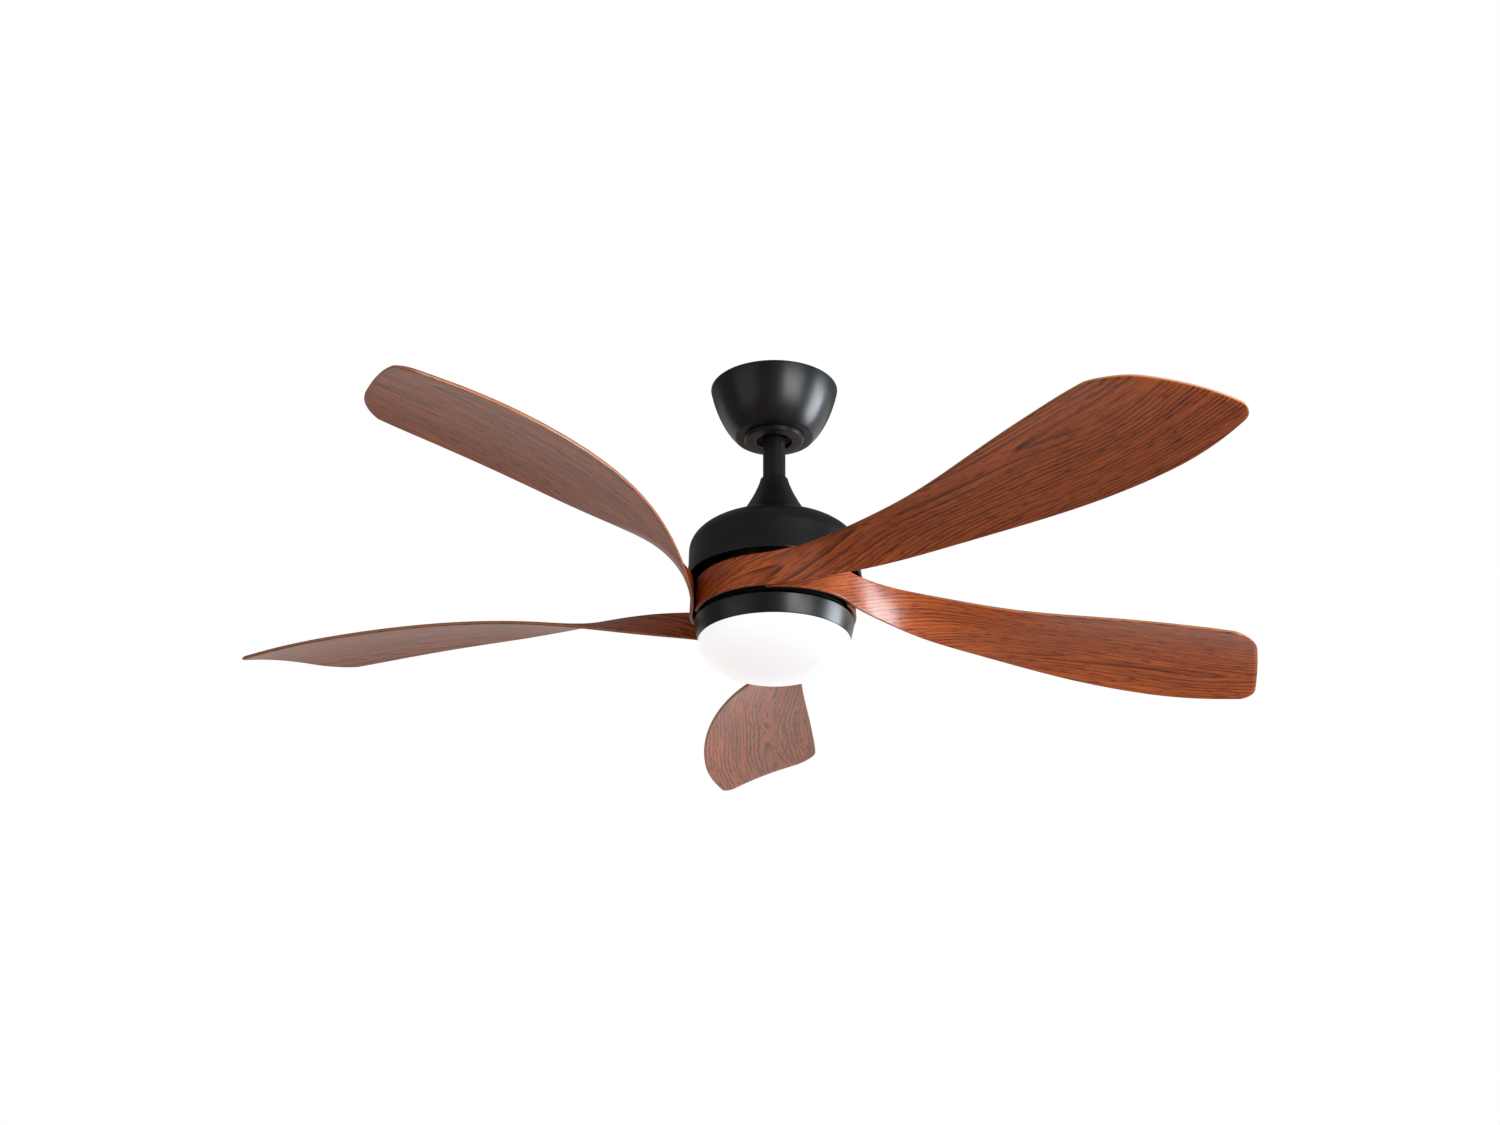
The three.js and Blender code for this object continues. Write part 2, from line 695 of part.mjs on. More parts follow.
// Where the blade ends, for a place across it from -1 (lower edge) to 1 (upper edge).
function bladeEnd(q) {
  const { length, sweptLength } = BLADE;
  const u = (1 - q) / 2;
  const halfWidth = 70;
  const bow = 4 * u * (1 - u) * 6.4;
  const upper = corner((1 - q) * halfWidth, 31, 33);
  const lower = corner((1 + q) * halfWidth, 17.5, 18.5);
  return length + (sweptLength - length) * u + bow - upper - lower;
}

// A point of the blade: s along the centre line, q across from -1 to 1, and lift off the mid-surface.
function bladePoint(s, q, lift) {
  const t = Math.min(s / BLADE_LINE_LENGTH, 1);
  const middle = BLADE_LINE.getPoint(t);
  const tangent = BLADE_LINE.getTangent(t);
  const twist = bladeTwist(s);
  const outward = new THREE.Vector3(tangent.y, -tangent.x, 0);
  const chord = outward.multiplyScalar(Math.cos(twist)).setZ(Math.sin(twist));
  const normal = chord.clone().cross(new THREE.Vector3(tangent.x, tangent.y, 0));
  const camber = (0.3 + (BLADE.camber - 0.3) * smooth(200, 600, s)) * (1 - q * q);
  return new THREE.Vector3(middle.x, middle.y, bladeHeight(s))
    .addScaledVector(chord, q * bladeHalfWidth(s))
    .addScaledVector(normal, camber + lift);
}

// A plank bent to the blade's surface. Its cells are shorter near the root, where it wraps the hub,
// and narrower near both edges, where its corners are rounded.
function blade() {
  const geometry = new THREE.BoxGeometry(1, 1, 1, 34, 4, 1);
  const { position } = geometry.attributes;
  for (let i = 0; i < position.count; i += 1) {
    const q = Math.sin(Math.PI * position.getY(i));
    const s = (position.getX(i) + 0.5) ** 1.35 * bladeEnd(q);
    const place = bladePoint(s, q, position.getZ(i) * BLADE.thickness);
    position.setXYZ(i, place.x, place.y, place.z);
  }
  const holes = STUD_STEPS.map((step) => {
    const hole = bar(2.1, 2 * (STUD_DEPTH + GAP), [studFace(step), 0, BLADE.rootZ], 'x', 8);
    return hole.rotateZ(degrees(BLADE.wrapStart + step));
  });
  return cut(geometry, ...holes);
}

// Radius of the root's inner face, a number of degrees past its start.
const studFace = (step) => BLADE.wrapRadius + (BLADE.wrapGrowth * step) / PITCH - BLADE.thickness / 2;

// A curved strip inside the hub with two studs that pass through its wall into the root.
function bladeClamp() {
  const outer = (HUB.radius - HUB.wall) * Math.cos(Math.PI / ROUND) - GAP;
  const inner = outer - 2;
  const [from, to] = [STUD_STEPS[0] - 5, STUD_STEPS[1] + 5].map((step) => degrees(BLADE.wrapStart + step));
  const strip = new THREE.Shape();
  strip.absarc(0, 0, outer, from, to, false);
  strip.absarc(0, 0, inner, to, from, true);
  const pieces = [plate(strip, BLADE.rootZ + 8, 16, 8)];
  for (const step of STUD_STEPS) {
    const tip = studFace(step) + STUD_DEPTH;
    const length = tip - inner;
    const stud = bar(1.8, length, [inner + length / 2, 0, BLADE.rootZ], 'x', 8);
    pieces.push(stud.rotateZ(degrees(BLADE.wrapStart + step)));
  }
  return join(...pieces);
}

add('motor_housing', motorHousing(), BLACK_METAL, hanging);
HOUSING_SCREW_ANGLES.forEach((angle, i) => {
  const screw = panScrew(3.6, 2.2, 1.8, 20).rotateX(Math.PI);
  const [x, y] = around(HOUSING_SCREW_RADIUS, angle);
  const seat = YOKE_BOTTOM + YOKE.flangeThickness + GAP;
  add(`housing_screw_${i + 1}`, screw.translate(x, y, seat), STEEL, hanging);
});
add('driver_board', driverBoard(), BOARD_GREEN, hanging);
add('motor_shaft', motorShaft(), STEEL, hanging);
add('stator_core', statorCore(), LAMINATION, hanging);
add('stator_winding', statorWinding(), COPPER, hanging);

const magnetRing = [
  [MAGNET.inner, STATOR.top + 2],
  [MAGNET.inner, STATOR.bottom - 2],
  [MAGNET.outer, STATOR.bottom - 2],
  [MAGNET.outer, STATOR.top + 2],
];
add('rotor_shell', rotorShell(), ALUMINIUM, rotor);
add('magnet_ring', revolve(magnetRing), MAGNET_GREY, rotor);
add('bearing_upper', bearing(ROTOR.top), STEEL, rotor);
add('bearing_lower', bearing(HUB.bottom + 4.2), STEEL, rotor);
add('blade_hub', bladeHub(), BLACK_METAL, rotor);

const bladeGeometry = blade();
const clampGeometry = bladeClamp();
for (let i = 0; i < BLADES; i += 1) {
  add(`blade_${i + 1}`, bladeGeometry, WALNUT, rotor).rotation.z = degrees(i * PITCH);
  add(`blade_clamp_${i + 1}`, clampGeometry, STEEL, rotor).rotation.z = degrees(i * PITCH);
}

// ---------------------------------------------------------------- light kit

const DECK_BOTTOM = RING.top - DECK_THICKNESS;
const POST_ANGLES = [90, 210, 330];

// Tapered ring with a deck across its top, posts for the LED tray and ledges for the bowl's lugs.
function lightRing() {
  const { topRadius, bottomRadius, top, bottom, wall } = RING;
  const shell = revolve([
    [SHAFT.radius + GAP, top],
    [topRadius - 1, top],
    [topRadius, top - 1],
    [bottomRadius, bottom + 0.6],
    [bottomRadius - 0.6, bottom],
    [bottomRadius - wall, bottom],
    [topRadius - wall - 0.6, DECK_BOTTOM],
    [SHAFT.radius + GAP, DECK_BOTTOM],
  ]);
  const pieces = [shell];
  for (const angle of POST_ANGLES) {
    const height = DECK_BOTTOM - TRAY.top - GAP;
    pieces.push(bar(4, height + 1, [...around(TRAY.screwRadius, angle), DECK_BOTTOM - height / 2 + 0.5]));
  }
  for (let i = 0; i < LUGS; i += 1) {
    const ledge = block(3.2, 14, 2, [BOWL.neckRadius + GAP + 1.6, 0, bottom + 2]);
    pieces.push(ledge.rotateZ(degrees((360 * i) / LUGS)));
  }
  const screwHoles = POST_ANGLES.map((angle) => {
    return bar(1.6, 12, [...around(TRAY.screwRadius, angle), TRAY.top], 'z', 12);
  });
  return cut(join(...pieces), ...screwHoles);
}

function lightPlate() {
  const outline = new THREE.Shape().absarc(0, 0, 38, 0, 2 * Math.PI);
  outline.holes.push(new THREE.Path().absarc(0, 0, SHAFT.radius + GAP, 0, 2 * Math.PI));
  return plate(outline, DECK_BOTTOM - GAP, 2.7, 16);
}

function shaftNut() {
  const corners = [0, 60, 120, 180, 240, 300].map((angle) => new THREE.Vector2(...around(15, angle)));
  const hexagon = new THREE.Shape(corners);
  hexagon.holes.push(new THREE.Path().absarc(0, 0, SHAFT.radius + GAP, 0, 2 * Math.PI));
  return plate(hexagon, DECK_BOTTOM - 2 * GAP - 2.7, 4.5, 12);
}

function ledDriver() {
  const body = block(60, 28, 13, [0, 38, TRAY.top + GAP + 6.5]);
  const lid = block(56, 24, 1.5, [0, 38, TRAY.top + GAP + 13.5]);
  return join(body, lid);
}

function ledTray() {
  const { radius, top, thickness, screwRadius } = TRAY;
  const outline = new THREE.Shape().absarc(0, 0, radius, 0, 2 * Math.PI);
  for (const angle of POST_ANGLES) {
    outline.holes.push(new THREE.Path().absarc(...around(screwRadius, angle), 1.9, 0, 2 * Math.PI));
  }
  outline.holes.push(new THREE.Path().absarc(0, 8, 3, 0, 2 * Math.PI));
  return plate(outline, top, thickness, 8);
}

function ledBoard() {
  const top = TRAY.top - TRAY.thickness - GAP;
  const thickness = 1.5;
  const disc = new THREE.Shape().absarc(0, 0, LED_BOARD_RADIUS, 0, 2 * Math.PI);
  const pieces = [plate(disc, top, thickness, 16)];
  for (const [radius, count] of [[24, 6], [44, 8], [60, 10]]) {
    for (let i = 0; i < count; i += 1) {
      const chip = block(3.4, 3.4, 1.4, [radius, 0, top - thickness - 0.4]);
      pieces.push(chip.rotateZ((2 * Math.PI * i) / count));
    }
  }
  return join(...pieces);
}

// Opal bowl: half an ellipse below the ring, and a neck inside it with lugs that lock by a twist.
function diffuser() {
  const { radius, depth, wall, neckRadius } = BOWL;
  const rim = RING.bottom - GAP;
  const steps = 7;
  const ellipse = (r, d, from, to) =>
    Array.from({ length: steps + 1 }, (_, i) => {
      const angle = degrees(from + ((to - from) * i) / steps);
      return [r * Math.cos(angle), rim - 1.5 - d * Math.sin(angle)];
    });
  const outside = ellipse(radius, depth - 1.5, 0, 90);
  const inside = ellipse(neckRadius - wall, depth - 1.5 - wall, 90, 0);
  outside[steps][0] = 0;
  inside[0][0] = 0;
  const neckTop = RING.bottom + 7;
  const shell = revolve([
    ...inside.slice(0, -1),
    [neckRadius - wall, rim - 1.5],
    [neckRadius - wall, neckTop],
    [neckRadius, neckTop],
    [neckRadius, rim],
    [radius, rim],
    ...outside,
  ]);
  const pieces = [shell];
  for (let i = 0; i < LUGS; i += 1) {
    const lug = block(2.4, 10, 1.6, [neckRadius + 0.3, 0, RING.bottom + 3 + GAP + 0.8]);
    pieces.push(lug.rotateZ(degrees((360 * i) / LUGS)));
  }
  return join(...pieces);
}

add('light_ring', lightRing(), BLACK_METAL, hanging);
add('light_plate', lightPlate(), STEEL, hanging);
add('shaft_nut', shaftNut(), STEEL, hanging);
add('led_driver', ledDriver(), BOARD_WHITE, hanging);
add('led_tray', ledTray(), ALUMINIUM, hanging);
add('led_board', ledBoard(), BOARD_WHITE, hanging);
POST_ANGLES.forEach((angle, i) => {
  const [x, y] = around(TRAY.screwRadius, angle);
  const seat = TRAY.top - TRAY.thickness - GAP;
  add(`tray_screw_${i + 1}`, panScrew(3, 1.6, 1.3, 6).translate(x, y, seat), STEEL, hanging);
});
add('diffuser', diffuser(), OPAL, hanging);

export default fan;
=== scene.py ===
"""Looks of the ceiling fan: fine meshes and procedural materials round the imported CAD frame.

Metres, +Z up, origin at the centre of the ceiling face. Lengths written in millimetres go through MM.
"""
import json
import math

import bmesh
import bpy
import numpy as np
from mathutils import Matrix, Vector


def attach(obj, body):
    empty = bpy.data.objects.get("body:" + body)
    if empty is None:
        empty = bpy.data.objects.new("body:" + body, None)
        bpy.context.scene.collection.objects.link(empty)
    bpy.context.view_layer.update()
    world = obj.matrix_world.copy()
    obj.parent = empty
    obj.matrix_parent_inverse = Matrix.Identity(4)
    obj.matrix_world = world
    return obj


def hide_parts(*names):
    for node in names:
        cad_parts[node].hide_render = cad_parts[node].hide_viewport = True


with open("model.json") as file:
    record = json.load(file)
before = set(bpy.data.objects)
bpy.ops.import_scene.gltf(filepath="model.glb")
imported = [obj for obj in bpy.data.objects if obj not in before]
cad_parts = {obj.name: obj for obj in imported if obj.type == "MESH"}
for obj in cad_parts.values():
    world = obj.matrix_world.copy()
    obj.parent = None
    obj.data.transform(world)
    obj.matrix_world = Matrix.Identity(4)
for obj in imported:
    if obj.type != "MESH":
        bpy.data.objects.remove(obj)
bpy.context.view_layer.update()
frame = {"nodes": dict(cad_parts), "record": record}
NODES = frame["nodes"]

MM = 0.001
TURN = 2 * math.pi


# ------------------------------------------------------------------ camera and light

CAMERA_DISTANCE = 2.148
CAMERA_DROP = 1.1916  # below the ceiling
CAMERA_YAW, CAMERA_PITCH = -0.04, 24.0
SENSOR_WIDTH, LENS = 36, 48.63
SHIFT_X, SHIFT_Y = -0.0153, 0.0045
AMBIENT_GLOSSY = 0.13
AMBIENT_DIFFUSE = 0.33
WHITE = (1.0, 1.0, 1.0)
COOL_WHITE = (0.91, 0.96, 1.0)
WARM_WHITE = (1.0, 0.97, 0.92)
WARMER_WHITE = (1.0, 0.96, 0.90)
FLOOR_HALF, FLOOR_Z = 6.0, -2.5
FLOOR_GLOW = 0.55


def add_camera():
    """The photograph's own view: from below and in front, looking up 24 degrees."""
    camera = bpy.data.objects.new("camera", bpy.data.cameras.new("camera"))
    bpy.context.scene.collection.objects.link(camera)
    camera.location = (0, -CAMERA_DISTANCE, -CAMERA_DROP)
    camera.rotation_euler = (math.pi / 2 + math.radians(CAMERA_PITCH), 0, -math.radians(CAMERA_YAW))
    camera.data.sensor_width = SENSOR_WIDTH
    camera.data.lens = LENS
    camera.data.shift_x = SHIFT_X
    camera.data.shift_y = SHIFT_Y
    camera.data.clip_end = 50
    bpy.context.scene.camera = camera


def add_softbox(name, azimuth, distance, heights, width, luminance, color=WHITE):
    """A soft box that faces the fan. Azimuth 0 is the viewer's side and 90 the right.

    The two heights are those of its lower and upper edge.
    """
    turn = math.radians(azimuth)
    low, high = heights
    lamp = bpy.data.lights.new(name, "AREA")
    lamp.shape = "RECTANGLE"
    lamp.size, lamp.size_y = width, high - low
    lamp.energy = luminance * math.pi * lamp.size * lamp.size_y
    lamp.color = color
    obj = bpy.data.objects.new(name, lamp)
    obj.visible_camera = False
    obj.location = (distance * math.sin(turn), -distance * math.cos(turn), (low + high) / 2)
    obj.rotation_euler = (math.pi / 2, 0, turn)
    bpy.context.scene.collection.objects.link(obj)


def add_world():
    """White surroundings for the camera, and a dim even glow for everything that they light."""
    world = bpy.data.worlds.new("studio")
    bpy.context.scene.world = world
    world.use_nodes = True
    nodes, links = world.node_tree.nodes, world.node_tree.links
    path = nodes.new("ShaderNodeLightPath")
    glow = nodes.new("ShaderNodeMapRange")
    glow.inputs["To Min"].default_value = AMBIENT_GLOSSY
    glow.inputs["To Max"].default_value = AMBIENT_DIFFUSE
    links.new(path.outputs["Is Diffuse Ray"], glow.inputs["Value"])
    strength = nodes.new("ShaderNodeMix")
    links.new(path.outputs["Is Camera Ray"], strength.inputs["Factor"])
    links.new(glow.outputs["Result"], strength.inputs["A"])
    strength.inputs["B"].default_value = 1.0
    background = nodes["Background"]
    background.inputs["Color"].default_value = (1, 1, 1, 1)
    links.new(strength.outputs["Result"], background.inputs["Strength"])


def add_floor():
    """A pale floor far below the fan that casts nothing back at it."""
    corners = ((-1, -1), (1, -1), (1, 1), (-1, 1))
    mesh = bpy.data.meshes.new("floor")
    mesh.from_pydata([(x * FLOOR_HALF, y * FLOOR_HALF, FLOOR_Z) for x, y in corners], [], [(0, 1, 2, 3)])
    floor = bpy.data.objects.new("floor", mesh)
    bpy.context.scene.collection.objects.link(floor)
    n = Nodes("floor_pale")
    shade = n.mix(n.noise(n.place(), 3, 3), (0.80, 0.79, 0.78), (0.84, 0.83, 0.82))
    n.set(Base_Color=shade, Roughness=0.9, Emission_Color=shade, Emission_Strength=FLOOR_GLOW)
    mesh.materials.append(n.material)
    floor.visible_glossy = False
    floor.visible_diffuse = False


def add_studio():
    bpy.context.scene.view_settings.view_transform = "Standard"
    add_world()
    add_floor()
    add_softbox("box_front_right", 35, 1.2, (-0.55, 0.0), 0.72, 5.9)
    add_softbox("box_right", 93, 1.8, (-0.90, 0.12), 0.86, 12.0, COOL_WHITE)
    add_softbox("fill_left", -52, 1.5, (-0.75, 0.15), 1.1, 0.5)
    add_softbox("backdrop_right", 150, 2.6, (-1.6, 0.6), 3.0, 0.75, WARM_WHITE)
    add_softbox("backdrop_left", 210, 2.6, (-1.6, 0.6), 3.0, 0.48, WARMER_WHITE)


# ------------------------------------------------------------------ shader helpers

NOISE_SPAN = (0.3, 0.7)  # where nearly all values of a noise lie
MIX_FACTOR, MIX_FIRST, MIX_SECOND, MIX_RESULT = 0, 6, 7, 2  # the mix node's sockets for colours


class Nodes:
    """A small helper that adds nodes to a material and links them by name."""

    def __init__(self, name):
        self.material = bpy.data.materials.new(name)
        self.material.use_nodes = True
        self.tree = self.material.node_tree
        self.shader = self.tree.nodes["Principled BSDF"]

    def add(self, kind, **values):
        node = self.tree.nodes.new(kind)
        for key, value in values.items():
            setattr(node, key, value)
        return node

    def link(self, source, target):
        self.tree.links.new(source, target)

    def feed(self, socket, value):
        """Gives a socket a number, a colour (a tuple) or a link from another node."""
        if isinstance(value, (int, float)):
            socket.default_value = value
        elif isinstance(value, tuple):
            socket.default_value = (*value, 1)
        else:
            self.link(value, socket)

    def set(self, **values):
        """Feeds the shader. Underscores stand for the spaces in its sockets' names."""
        for key, value in values.items():
            self.feed(self.shader.inputs[key.replace("_", " ")], value)

    def place(self):
        return self.add("ShaderNodeTexCoord").outputs["Object"]

    def uv(self):
        return self.add("ShaderNodeUVMap").outputs["UV"]

    def split(self, vector):
        node = self.add("ShaderNodeSeparateXYZ")
        self.link(vector, node.inputs[0])
        return node.outputs

    def math(self, operation, *values):
        node = self.add("ShaderNodeMath", operation=operation)
        for socket, value in zip(node.inputs, values):
            self.feed(socket, value)
        return node.outputs[0]

    def mix(self, factor, first, second):
        node = self.add("ShaderNodeMix", data_type="RGBA")
        self.feed(node.inputs[MIX_FACTOR], factor)
        self.feed(node.inputs[MIX_FIRST], first)
        self.feed(node.inputs[MIX_SECOND], second)
        return node.outputs[MIX_RESULT]

    def noise(self, vector, scale, detail, roughness=0.5):
        node = self.add("ShaderNodeTexNoise")
        self.link(vector, node.inputs["Vector"])
        node.inputs["Scale"].default_value = scale
        node.inputs["Detail"].default_value = detail
        node.inputs["Roughness"].default_value = roughness
        return node.outputs["Fac"]

    def mapping(self, vector, scale, location=(0, 0, 0)):
        node = self.add("ShaderNodeMapping")
        self.link(vector, node.inputs["Vector"])
        node.inputs["Scale"].default_value = scale
        node.inputs["Location"].default_value = location
        return node.outputs["Vector"]

    def streaks(self, vector, along, across, detail=2, roughness=0.5):
        """Noise with so many waves in a metre along the grain and across it."""
        return self.noise(self.mapping(vector, (along, across, 1)), 1.0, detail, roughness)

    def ramp(self, factor, *stops):
        node = self.add("ShaderNodeValToRGB")
        self.link(factor, node.inputs["Fac"])
        while len(node.color_ramp.elements) < len(stops):
            node.color_ramp.elements.new(0.5)
        for element, (place, color) in zip(node.color_ramp.elements, stops):
            element.position = place
            element.color = (*color, 1) if isinstance(color, tuple) else (color, color, color, 1)
        return node.outputs["Color"]

    def between(self, value, low, high, out_low=0.0, out_high=1.0):
        node = self.add("ShaderNodeMapRange")
        self.link(value, node.inputs["Value"])
        limits = {"From Min": low, "From Max": high, "To Min": out_low, "To Max": out_high}
        for key, number in limits.items():
            node.inputs[key].default_value = number
        return node.outputs["Result"]

    def bump(self, height, strength, distance):
        node = self.add("ShaderNodeBump")
        node.inputs["Strength"].default_value = strength
        node.inputs["Distance"].default_value = distance
        self.link(height, node.inputs["Height"])
        self.link(node.outputs["Normal"], self.shader.inputs["Normal"])


# ------------------------------------------------------------------ materials

BLACK_DEEP = (0.0065, 0.0065, 0.0072)
BLACK_DUSTY = (0.0105, 0.0105, 0.0115)
BLACK_SHEEN = (0.93, 0.97, 1.0)

OPAL_PAINTED_SIDE = 0.07  # half the width over which the bowl's painted light turns from warm to cool
# heights over which a painted shade tint covers the lower part of the bowl
OPAL_SHADE_LOWEST, OPAL_SHADE_HIGHEST = -0.368, -0.335

RING_SPACING = 0.0044
WALNUT_LIGHT = (0.66, 0.140, 0.030)
WALNUT_DEEP = (0.44, 0.086, 0.018)
WALNUT_FIBRE = (0.27, 0.050, 0.012)
WALNUT_LINE = (0.075, 0.016, 0.006)
WALNUT_PORE = (0.050, 0.012, 0.006)

PLY_SKIN = (0.10, 0.030, 0.014)
PLY_UPPER = (0.55, 0.25, 0.105)
PLY_MIDDLE = (0.52, 0.23, 0.095)
PLY_LOWER = (0.50, 0.21, 0.085)
PLY_GLUE = (0.20, 0.065, 0.027)
PLY_SPECKLE = (0.30, 0.12, 0.05)


def black_metal():
    """Black powder coat: fine orange peel and a little dust in the roughness."""
    n = Nodes("satin_black_metal")
    place = n.place()
    cloud = n.noise(place, 35, 3)
    n.set(
        Base_Color=n.mix(cloud, BLACK_DEEP, BLACK_DUSTY),
        Specular_Tint=BLACK_SHEEN,
        Roughness=n.between(cloud, *NOISE_SPAN, 0.29, 0.37),
        Coat_Weight=0.15,
        Coat_Roughness=0.25,
    )
    n.bump(n.noise(place, 2600, 2), 0.10, 0.00008)
    return n.material


def opal():
    """Opal acrylic, milky and softly glossy, with a glow painted on.

    Its glow and colour are painted light and shade: warmer low on its left, cooler on its right and dimmer
    at its outline.
    """
    n = Nodes("opal_acrylic")
    place = n.place()
    xyz = n.split(place)
    # painted light and shade: warm on the left, cool on the right, and a painted shade tint low on the bowl
    across = n.between(xyz["X"], -OPAL_PAINTED_SIDE, OPAL_PAINTED_SIDE)
    low = n.between(xyz["Z"], OPAL_SHADE_LOWEST, OPAL_SHADE_HIGHEST, 1.0, 0.0)
    painted_tint = n.mix(across, (1.0, 0.950, 0.932), (0.985, 0.955, 0.995))
    # painted shade: the glow is dimmer towards the bowl's outline
    outline = n.add("ShaderNodeLayerWeight")
    outline.inputs["Blend"].default_value = 0.35
    n.set(
        Base_Color=n.mix(across, (0.32, 0.31, 0.305), (0.26, 0.25, 0.27)),
        Roughness=n.between(n.noise(place, 60, 2), *NOISE_SPAN, 0.26, 0.32),
        Specular_IOR_Level=0.22,
        # painted light: the emission is a glow that stands in for the light falling on the bowl
        Emission_Color=n.mix(low, (1.0, 0.985, 0.99), painted_tint),
        Emission_Strength=n.between(outline.outputs["Facing"], 0.0, 1.0, 0.84, 0.70),
    )
    n.bump(n.noise(place, 900, 1), 0.03, 0.00005)
    return n.material


def walnut(name, seed, heart):
    """Lacquered walnut. The UV map holds metres along and across the grain of the plank.

    The growth rings are nearly straight lines that close into arches where the plank passes the
    heart of the tree, which lies `heart` metres from its middle.
    """
    n = Nodes(name)
    uv = n.uv()
    flat = n.split(uv)
    shifted = n.mapping(uv, (1, 1, 1), (seed * 1.7, 0, seed))

    # rings: the distance from the heart, counted in ring spacings, after a slow wander of every line
    wander = n.between(n.streaks(shifted, 1.6, 4.0), *NOISE_SPAN, -0.010, 0.010)
    across = n.math("ADD", n.math("SUBTRACT", flat["Y"], heart), wander)
    slope = n.between(n.streaks(shifted, 1.7, 6.0), *NOISE_SPAN, 0.003, 0.040)
    distance = n.math("SQRT", n.math("ADD", n.math("POWER", across, 2.0), n.math("POWER", slope, 2.0)))
    rings = n.math("FRACT", n.math("DIVIDE", distance, RING_SPACING))
    line = n.ramp(rings, (0.0, 0.0), (0.48, 0.0), (0.78, 0.65), (0.90, 1.0), (1.0, 0.0))

    # everything finer follows the same wander
    bent = n.add("ShaderNodeCombineXYZ")
    n.link(flat["X"], bent.inputs["X"])
    n.link(across, bent.inputs["Y"])
    bent.inputs["Z"].default_value = seed
    grain = bent.outputs[0]
    faded = n.between(n.streaks(grain, 5.0, 150.0), 0.36, 0.54)
    pores = n.between(n.streaks(grain, 42.0, 620.0, 2, 0.6), 0.55, 0.63)
    streak = n.between(n.streaks(grain, 7.0, 95.0, 3, 0.6), 0.32, 0.68)
    fibre = n.between(n.streaks(grain, 24.0, 900.0, 3, 0.6), *NOISE_SPAN)
    dark_line = n.math("MULTIPLY", n.math("MULTIPLY", line, faded), 0.95)

    color = n.mix(streak, WALNUT_DEEP, WALNUT_LIGHT)
    color = n.mix(n.math("MULTIPLY", fibre, 0.40), color, WALNUT_FIBRE)
    color = n.mix(dark_line, color, WALNUT_LINE)
    color = n.mix(n.math("MULTIPLY", pores, 0.75), color, WALNUT_PORE)
    n.set(
        Base_Color=color,
        Roughness=n.between(fibre, 0.0, 1.0, 0.29, 0.36),
        Coat_Weight=0.12,
        Coat_Roughness=0.18,
    )
    height = n.math("SUBTRACT", n.math("MULTIPLY", fibre, 0.3), n.math("ADD", dark_line, pores))
    n.bump(height, 0.12, 0.0002)
    return n.material


def ply_edge():
    """Cut edge of the blade: pale layers with a darker glue line between them."""
    n = Nodes("blade_cut_edge")
    uv = n.uv()
    layers = n.ramp(
        n.split(uv)["Y"],
        (0.0, PLY_SKIN),
        (0.20, PLY_UPPER),
        (0.38, PLY_MIDDLE),
        (0.50, PLY_GLUE),
        (0.62, PLY_MIDDLE),
        (0.80, PLY_LOWER),
        (1.0, PLY_SKIN),
    )
    speckle = n.streaks(uv, 220.0, 7.0, 3, 0.6)
    n.set(
        Base_Color=n.mix(n.between(speckle, *NOISE_SPAN, 0.0, 0.35), layers, PLY_SPECKLE),
        Roughness=0.5,
        Coat_Weight=0.3,
        Coat_Roughness=0.2,
    )
    n.bump(speckle, 0.15, 0.0001)
    return n.material


def worn(name, color, metallic, roughness, grain=900, spread=0.25):
    """A hidden or hardware material: cloudy colour, varied roughness and fine grain."""
    n = Nodes(name)
    place = n.place()
    cloud = n.noise(place, 45, 4)
    dark = tuple(c * (1 - spread) for c in color)
    n.set(
        Base_Color=n.mix(cloud, dark, color),
        Metallic=metallic,
        Roughness=n.between(cloud, *NOISE_SPAN, roughness - 0.07, roughness + 0.07),
    )
    n.bump(n.noise(place, grain, 2), 0.12, 0.0001)
    return n.material


# ------------------------------------------------------------------ mesh helpers

STRAIGHT_ENOUGH = math.radians(14)  # a corner flatter than this isn't rounded
LONGEST_REACH = 0.45  # the part of a side that one rounding may take
FACETS, FINE_FACETS = 160, 192


def make_object(name, vertices, faces):
    """A smooth object without double points, with its faces turned outwards."""
    mesh = bpy.data.meshes.new(name)
    mesh.from_pydata(vertices, [], faces)
    mesh.validate()
    obj = bpy.data.objects.new(name, mesh)
    bpy.context.scene.collection.objects.link(obj)
    work = bmesh.new()
    work.from_mesh(mesh)
    bmesh.ops.remove_doubles(work, verts=work.verts, dist=1e-7)
    bmesh.ops.recalc_face_normals(work, faces=work.faces)
    work.to_mesh(mesh)
    work.free()
    mesh.polygons.foreach_set("use_smooth", [True] * len(mesh.polygons))
    return obj


def crease(obj, angle):
    """Sharp shading only where faces meet at more than the angle."""
    mesh = obj.data
    work = bmesh.new()
    work.from_mesh(mesh)
    limit = math.radians(angle)
    for edge in work.edges:
        edge.smooth = not (len(edge.link_faces) == 2 and edge.calc_face_angle(0) > limit)
    work.to_mesh(mesh)
    work.free()


def round_corners(outline, radius, steps=4):
    """Replaces each corner of a closed outline of (r, z) points by an arc of about that radius."""
    points = [Vector(p) for p in outline]
    result = []
    for i, corner_point in enumerate(points):
        back = points[i - 1] - corner_point
        ahead = points[(i + 1) % len(points)] - corner_point
        turn = math.pi - back.angle(ahead)
        if turn < STRAIGHT_ENOUGH:
            result.append(corner_point)
            continue
        reach = min(radius * math.tan(turn / 2), LONGEST_REACH * back.length, LONGEST_REACH * ahead.length)
        start = corner_point + back.normalized() * reach
        end = corner_point + ahead.normalized() * reach
        for k in range(steps + 1):
            t = k / steps
            result.append(start * (1 - t) ** 2 + corner_point * 2 * t * (1 - t) + end * t * t)
    return [(p.x, p.y) for p in result]


